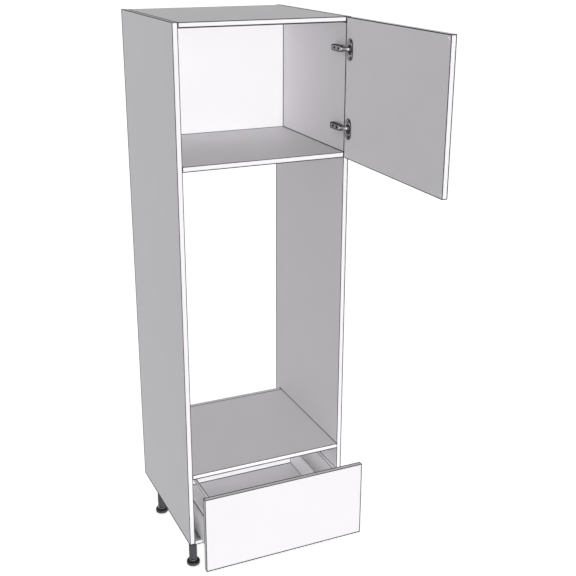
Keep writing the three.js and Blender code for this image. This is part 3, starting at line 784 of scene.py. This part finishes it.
def studio_floor(studio):
    """A pale floor that keeps the shadow and reads as white to the camera and in reflections"""
    material = bpy.data.materials.new("studio_floor")
    material.use_nodes = True
    sheet = Sheet(material.node_tree)
    shader = sheet.tree.nodes["Principled BSDF"]
    sheet.feed(shader.inputs["Base Color"], (*studio.floor, 1.0))
    sheet.feed(shader.inputs["Roughness"], ROUGHNESS["floor"])
    sheet.feed(shader.inputs["Specular IOR Level"], SPECULAR["floor"])
    glow = sheet.node("ShaderNodeEmission", inputs={"Strength": studio.floor_glow})
    inputs = {0: sheet.wire(shader), 1: sheet.wire(glow)}
    shown = sheet.node("ShaderNodeAddShader", inputs=inputs)
    seen_as(sheet, shader, shown, "Material Output")
    return material


def studio_sky(studio):
    """Even light from all round, which the camera and reflections see as white"""
    world = bpy.data.worlds.new("studio_sky")
    world.use_nodes = True
    sheet = Sheet(world.node_tree)
    white = (1, 1, 1, 1)
    even = sheet.node("ShaderNodeBackground", inputs={"Color": white, "Strength": studio.sky})
    shown = sheet.node("ShaderNodeBackground", inputs={"Color": white, "Strength": 1.0})
    seen_as(sheet, even, shown, "World Output")
    return world


# Shapes


def set_finish(obj, material):
    """Makes a material the only one on an object"""
    obj.data.materials.clear()
    obj.data.materials.append(material)


def dressed(node, material, arris):
    """A CAD node with its finish and rounded arrises; its own mesh stays as it is"""
    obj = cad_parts[node]
    set_finish(obj, material)
    weld = obj.modifiers.new("Joined faces", "WELD")
    weld.merge_threshold = WELD_REACH
    bevel = obj.modifiers.new("Rounded arrises", "BEVEL")
    bevel.width = arris
    bevel.segments = ARRIS_STEPS
    bevel.limit_method = "ANGLE"
    bevel.angle_limit = ARRIS_ANGLE
    return obj


def piece(name, mesh, material, body, slot_name, replaced=()):
    """A finished mesh as a piece that rides on a body"""
    obj = bpy.data.objects.new(name, mesh)
    bpy.context.scene.collection.objects.link(obj)
    set_finish(obj, material)
    mesh.polygons.foreach_set("use_smooth", [True] * len(mesh.polygons))
    mesh.set_sharp_from_angle(angle=SMOOTH_ANGLE)
    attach(obj, body)
    if replaced:
        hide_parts(*replaced)
    return obj


def corner_arc(middle, radius, start, stop, steps=5):
    """Points of an arc in radius and height, its angles in degrees from outwards"""
    out, up = middle
    turns = [math.radians(start + (stop - start) * step / steps) for step in range(steps + 1)]
    return [(out + radius * math.cos(turn), up + radius * math.sin(turn)) for turn in turns]


def turned_mesh(name, profile, facets):
    """A closed turned solid from a profile of radius and height, from axis to axis"""
    made = bmesh.new()
    turns = [2 * math.pi * step / facets for step in range(facets)]
    rings = []
    for radius, height in profile:
        round_turns = turns if radius else turns[:1]
        rings.append([
            made.verts.new((radius * math.cos(turn), radius * math.sin(turn), height))
            for turn in round_turns
        ])
    for lower, upper in zip(rings, rings[1:]):
        for step in range(facets):
            after = (step + 1) % facets
            corners = [lower[step % len(lower)], lower[after % len(lower)]]
            corners += [upper[after % len(upper)], upper[step % len(upper)]]
            made.faces.new(list(dict.fromkeys(corners)))
    bmesh.ops.recalc_face_normals(made, faces=made.faces)
    mesh = bpy.data.meshes.new(name)
    made.to_mesh(mesh)
    made.free()
    return mesh


def screw_pattern():
    """Domed screw heads with a cross recess, one on each point, each turned its own way"""
    tree = Pattern("cross_recess_screws", {
        "Head Radius": "NodeSocketFloat",
        "Head Rise": "NodeSocketFloat",
        "Recess Width": "NodeSocketFloat",
        "Recess Depth": "NodeSocketFloat",
        "Facing": "NodeSocketVector",
        "Seed": "NodeSocketInt",
        "Finish": "NodeSocketMaterial",
    })
    radius, rise = tree.given("Head Radius"), tree.given("Head Rise")
    width, depth = tree.given("Recess Width"), tree.given("Recess Depth")
    inputs = {"Segments": 28, "Rings": 14, "Radius": radius}
    ball = tree.node("GeometryNodeMeshUVSphere", inputs=inputs)
    head = tree.moved(tree.wire(ball), {"Scale": tree.triple(1.0, 1.0, rise / radius)})
    cut = tree.node("GeometryNodeMeshBoolean", {"operation": "DIFFERENCE"}, {0: head})
    # The middle of each arm is level with the head's top, so half of its height cuts in
    reach, height = radius * RECESS_REACH, depth * 2.0
    for size in (tree.triple(reach, width, height), tree.triple(width, reach, height)):
        arm = tree.wire(tree.node("GeometryNodeMeshCube", inputs={"Size": size}))
        raised = tree.moved(arm, {"Translation": tree.triple(0.0, 0.0, rise)})
        tree.tree.links.new(raised.socket, cut.inputs[1])
    inputs = {"Seed": tree.given("Seed")}
    turn = tree.node("FunctionNodeRandomValue", {"data_type": "FLOAT"}, inputs)
    spin = tree.node("FunctionNodeAxisAngleToRotation", inputs={
        "Axis": (0.0, 0.0, 1.0), "Angle": tree.wire(turn, 1) * math.pi,
    })
    inputs = {"Vector": tree.given("Facing")}
    facing = tree.node("FunctionNodeAlignRotationToVector", {"axis": "Z"}, inputs)
    inputs = {0: tree.wire(facing), 1: tree.wire(spin)}
    rotation = tree.node("FunctionNodeRotateRotation", {"rotation_space": "LOCAL"}, inputs)
    heads = tree.node("GeometryNodeInstanceOnPoints", inputs={
        "Points": tree.given("Geometry"),
        "Instance": tree.wire(cut),
        "Rotation": tree.wire(rotation),
    })
    tree.finished(tree.wire(heads))
    return tree


def screws(name, places, facing, radius, context, body, replaced=()):
    """Screw heads at the given places as one piece"""
    sizes, colours = context.scene.cabinet_sizes, context.scene.cabinet_colours
    carrier = bpy.data.meshes.new(f"{name}_places")
    carrier.from_pydata(places, [], [])
    material = bpy.data.materials.get("dark_screw_plating") or screw_plating(colours)
    mesh = screw_pattern().made_on(name, carrier, {
        "Head Radius": radius,
        "Head Rise": sizes.screw_rise,
        "Recess Width": sizes.recess_width,
        "Recess Depth": sizes.recess_depth,
        "Facing": facing,
        "Seed": len(name),
        "Finish": material,
    })
    return piece(name, mesh, material, body, "screw_steel", replaced)


def centre(node):
    """The middle of a CAD node's box"""
    low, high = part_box(node)
    return (low + high) / 2


# Operators


class CABINET_OT_boards(bpy.types.Operator):
    """Finish the carcass boards in white melamine with raw rear edges"""

    bl_idname = "cabinet.boards"
    bl_label = "Carcass boards"

    def execute(self, context):
        sizes, colours = context.scene.cabinet_sizes, context.scene.cabinet_colours
        for node in SIDE_PANELS + CROSS_BOARDS:
            finish = melamine(node, sizes, colours, raw_rear=node not in BACK_PANELS)
            dressed(node, finish, sizes.board_arris)
        return {"FINISHED"}


class CABINET_OT_door(bpy.types.Operator):
    """Finish the door and make its soft buffers"""

    bl_idname = "cabinet.door"
    bl_label = "Door"

    def execute(self, context):
        sizes, colours = context.scene.cabinet_sizes, context.scene.cabinet_colours
        dressed("door_panel", melamine("door_panel", sizes, colours), sizes.board_arris)
        soft, roughness = colours.buffer_plastic, ROUGHNESS["buffer"]
        plastic = moulded_plastic("buffer_plastic", soft, BUFFER_GRAIN, roughness)
        for height in HINGES:
            node = f"door_buffer_{height}"
            mesh = self.buffer(f"soft_buffer_{height}", node)
            piece(mesh.name, mesh, plastic, "door", "buffer_plastic", [node])
        return {"FINISHED"}

    @staticmethod
    def buffer(name, node):
        """A round buffer with a rounded edge, in the box of its CAD node"""
        low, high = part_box(node)
        _, deep, up = centre(node)
        radius, rise = (high[UP] - low[UP]) / 2, high[ACROSS] - low[ACROSS]
        edge = rise * BUFFER_ROUNDING
        profile = [(0.0, 0.0), (radius, 0.0)]
        profile += corner_arc((radius - edge, rise - edge), edge, 0, 90) + [(0.0, rise)]
        mesh = turned_mesh(name, profile, BUFFER_FACETS)
        towards_left = Matrix.Rotation(math.radians(-90), 4, "Y")
        mesh.transform(Matrix.Translation((high[ACROSS], deep, up)) @ towards_left)
        return mesh


class CABINET_OT_hinges(bpy.types.Operator):
    """Finish the concealed hinges and make their screws"""

    bl_idname = "cabinet.hinges"
    bl_label = "Hinges"

    def execute(self, context):
        sizes, colours = context.scene.cabinet_sizes, context.scene.cabinet_colours
        plain = plated_steel(steel_finish("hinge_nickel"), colours.hinge_nickel, NICKEL_MARKS)
        for height in HINGES:
            for kind in HINGE_PARTS:
                drawn = kind in HINGE_LINES
                finish = hinge_steel(kind, height, sizes, colours) if drawn else plain
                dressed(f"hinge_{kind}_{height}", finish, sizes.sheet_arris)
        self.add_screws("hinge_cup_screws", "cup", "door", context)
        self.add_screws("hinge_adjusting_screws", "arm", "carcass", context)
        return {"FINISHED"}

    @staticmethod
    def add_screws(name, kind, body, context):
        """The screws through one kind of part of both hinges, as one piece"""
        nodes = [node for height in HINGES for node in hinge_screws(kind, height)]
        low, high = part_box(nodes[0])
        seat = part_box(f"hinge_{kind}_lower")[0][ACROSS]
        places = [(seat, centre(node)[DEEP], centre(node)[UP]) for node in nodes]
        radius = (high[UP] - low[UP]) / 2
        screws(name, places, (-1, 0, 0), radius, context, body, nodes)


class CABINET_OT_drawer(bpy.types.Operator):
    """Finish the drawer's front, boards, metal sides, rails and brackets"""

    bl_idname = "cabinet.drawer"
    bl_label = "Drawer"

    def execute(self, context):
        sizes, colours = context.scene.cabinet_sizes, context.scene.cabinet_colours
        for node in ("drawer_front", "drawer_floor", "drawer_back"):
            dressed(node, melamine(node, sizes, colours), sizes.board_arris)
        plain = powder_coat(coat_finish("bracket_coat"), colours)
        for side in SIDES:
            dressed(f"drawer_side_{side}", side_coat(side, sizes, colours), sizes.sheet_arris)
            dressed(f"gallery_rail_{side}", rail_coat(side, sizes, colours), sizes.sheet_arris)
            for bracket in (f"front_bracket_{side}", f"back_bracket_{side}"):
                dressed(bracket, plain, sizes.sheet_arris)
        return {"FINISHED"}


class CABINET_OT_runners(bpy.types.Operator):
    """Finish the drawer runners and add the screws that hold them to the side panels"""

    bl_idname = "cabinet.runners"
    bl_label = "Runners"

    def execute(self, context):
        sizes, colours = context.scene.cabinet_sizes, context.scene.cabinet_colours
        zinc = plated_steel(steel_finish("runner_zinc"), colours.runner_zinc, ZINC_MARKS)
        for side, sign in SIDES.items():
            for kind in ("cabinet", "middle", "drawer"):
                dressed(f"runner_{kind}_member_{side}", zinc, sizes.sheet_arris)
            low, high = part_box(f"runner_cabinet_member_{side}")
            wall = high[ACROSS] if side == "right" else low[ACROSS]
            face, row = wall - sign * sizes.runner_sheet, high[UP] - sizes.runner_screw_drop
            depths = [low[DEEP] + share * (high[DEEP] - low[DEEP]) for share in RUNNER_SCREWS]
            places = [(face, depth, row) for depth in depths]
            name, facing = f"runner_screws_{side}", (-sign, 0, 0)
            screws(name, places, facing, sizes.screw_radius, context, "carcass")
        return {"FINISHED"}


class CABINET_OT_legs(bpy.types.Operator):
    """Finish the leg sockets and tubes, and make the rounded feet"""

    bl_idname = "cabinet.legs"
    bl_label = "Legs"

    def execute(self, context):
        sizes, colours = context.scene.cabinet_sizes, context.scene.cabinet_colours
        grey, dark = colours.leg_plastic, colours.foot_plastic
        ground = CAD_BOX[0][UP]
        highlight_bands = [(ground + under, ground + top, paler) for under, top, paler in FOOT_HIGHLIGHTS]
        plastic = moulded_plastic("leg_plastic", grey, LEG_GRAIN, ROUGHNESS["leg"])
        # Painted highlights: paler bands at the foot's lower rim and at its neck
        worn = moulded_plastic("foot_plastic", dark, LEG_GRAIN, ROUGHNESS["foot"], highlight_bands)
        for corner in CORNERS:
            dressed(f"leg_socket_{corner}", plastic, sizes.plastic_arris)
            dressed(f"leg_tube_{corner}", plastic, sizes.plastic_arris)
            node = f"leg_foot_{corner}"
            mesh = self.foot(f"moulded_foot_{corner}", node, sizes)
            piece(mesh.name, mesh, worn, f"foot_{corner}", "leg_plastic", [node])
        return {"FINISHED"}

    @staticmethod
    def foot(name, node, sizes):
        """A round foot with its stem: a rounded disc, a sloping shoulder and a short neck"""
        low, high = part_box(node)
        across, deep, _ = centre(node)
        edge, neck, stem = sizes.foot_edge, sizes.foot_neck, sizes.foot_stem
        rim, rise = (high[ACROSS] - low[ACROSS]) / 2 - edge, high[UP] - low[UP]
        shoulder = sizes.foot_shoulder + edge
        profile = [(0.0, 0.0)] + corner_arc((rim, edge), edge, -90, 0)
        profile += corner_arc((rim, sizes.foot_disc - edge), edge, 0, 90)
        profile += reversed(corner_arc((neck + edge, shoulder), edge, 180, 270))
        profile += [(stem, shoulder), (stem, rise), (0.0, rise)]
        mesh = turned_mesh(name, profile, FOOT_FACETS)
        mesh.transform(Matrix.Translation((across, deep, low[UP])))
        return mesh


class CABINET_OT_studio(bpy.types.Operator):
    """Set up the floor, the sky, the lamps and the camera"""

    bl_idname = "cabinet.studio"
    bl_label = "Studio"

    def execute(self, context):
        scene, studio = context.scene, context.scene.cabinet_studio
        scene.view_settings.view_transform = "Standard"
        scene.world = studio_sky(studio)
        self.add_floor(scene, studio)
        ahead_and_down = (0, math.cos(studio.key_dip), -math.sin(studio.key_dip))
        key = self.add_lamp(scene, "key_light", ahead_and_down, studio.key_light)
        key.angle = studio.key_spread
        fills = {
            "left_fill": ((1, 0, 0), studio.side_fill),
            "right_fill": ((-1, 0, 0), studio.side_fill),
            "front_fill": ((0, 1, 0), studio.front_fill),
            "rear_fill": ((0, -1, 0), studio.front_fill),
            "top_fill": ((0, 0, -1), studio.top_fill),
        }
        for name, (ahead, share) in fills.items():
            self.add_lamp(scene, name, ahead, share).use_shadow = False
        self.add_camera(scene, studio)
        return {"FINISHED"}

    @staticmethod
    def add_floor(scene, studio):
        """A flat floor under the feet"""
        half, ground = studio.floor_half, CAD_BOX[0][UP]
        ends = ((-half, -half), (half, -half), (half, half), (-half, half))
        mesh = bpy.data.meshes.new("studio_floor")
        mesh.from_pydata([(across, deep, ground) for across, deep in ends], [], [(0, 1, 2, 3)])
        floor = bpy.data.objects.new("studio_floor", mesh)
        scene.collection.objects.link(floor)
        set_finish(floor, studio_floor(studio))

    @staticmethod
    def add_lamp(scene, name, ahead, share):
        """A sun that shines one way and lights a face square to it to a share of full white"""
        lamp = bpy.data.lights.new(name, "SUN")
        lamp.energy = share * math.pi
        light = bpy.data.objects.new(name, lamp)
        light.rotation_euler = Vector(ahead).to_track_quat("-Z", "Y").to_euler()
        scene.collection.objects.link(light)
        return lamp

    @staticmethod
    def add_camera(scene, studio):
        """The camera, turned, dipped and rolled as the photo's was"""
        turn, dip, roll = studio.camera_turn, studio.camera_dip, studio.camera_roll
        flat = math.cos(dip)
        ahead = Vector((math.sin(turn) * flat, math.cos(turn) * flat, -math.sin(dip)))
        level_right = Vector((math.cos(turn), -math.sin(turn), 0.0))
        right = level_right * math.cos(roll) + level_right.cross(ahead) * math.sin(roll)
        above = right.cross(ahead)
        matrix = Matrix((right, above, -ahead)).transposed().to_4x4()
        matrix.translation = studio.camera_place
        data = bpy.data.cameras.new("photo_camera")
        data.sensor_width = SENSOR_WIDTH
        data.lens = studio.lens
        data.clip_start, data.clip_end = 0.05, 300.0
        camera = bpy.data.objects.new("photo_camera", data)
        camera.matrix_world = matrix
        scene.collection.objects.link(camera)
        scene.camera = camera


STEPS = ("studio", "boards", "door", "hinges", "drawer", "runners", "legs")


class CABINET_PT_panel(bpy.types.Panel):
    """Lists the steps and values of the cabinet"""

    bl_idname = "CABINET_PT_panel"
    bl_label = "Oven housing cabinet"
    bl_space_type = "VIEW_3D"
    bl_region_type = "UI"
    bl_category = "Cabinet"

    def draw(self, context):
        for step in STEPS:
            self.layout.operator(f"cabinet.{step}")
        for group_name in GROUPS:
            values = getattr(context.scene, group_name)
            box = self.layout.box()
            for name in values.__annotations__:
                box.prop(values, name)


GROUPS = {
    "cabinet_sizes": CabinetSizes,
    "cabinet_colours": CabinetColours,
    "cabinet_studio": CabinetStudio,
}
CLASSES = (
    *GROUPS.values(),
    CABINET_OT_studio,
    CABINET_OT_boards,
    CABINET_OT_door,
    CABINET_OT_hinges,
    CABINET_OT_drawer,
    CABINET_OT_runners,
    CABINET_OT_legs,
    CABINET_PT_panel,
)


def register():
    """Adds the classes, and the groups of values to the scene"""
    for each in CLASSES:
        bpy.utils.register_class(each)
    for name, group in GROUPS.items():
        setattr(bpy.types.Scene, name, bpy.props.PointerProperty(type=group))


def unregister():
    """Takes the groups and classes away again"""
    for name in GROUPS:
        delattr(bpy.types.Scene, name)
    for each in reversed(CLASSES):
        bpy.utils.unregister_class(each)


def main():
    """Dresses the cabinet"""
    register()
    for step in STEPS:
        getattr(bpy.ops.cabinet, step)()


if __name__ == "__main__":
    main()
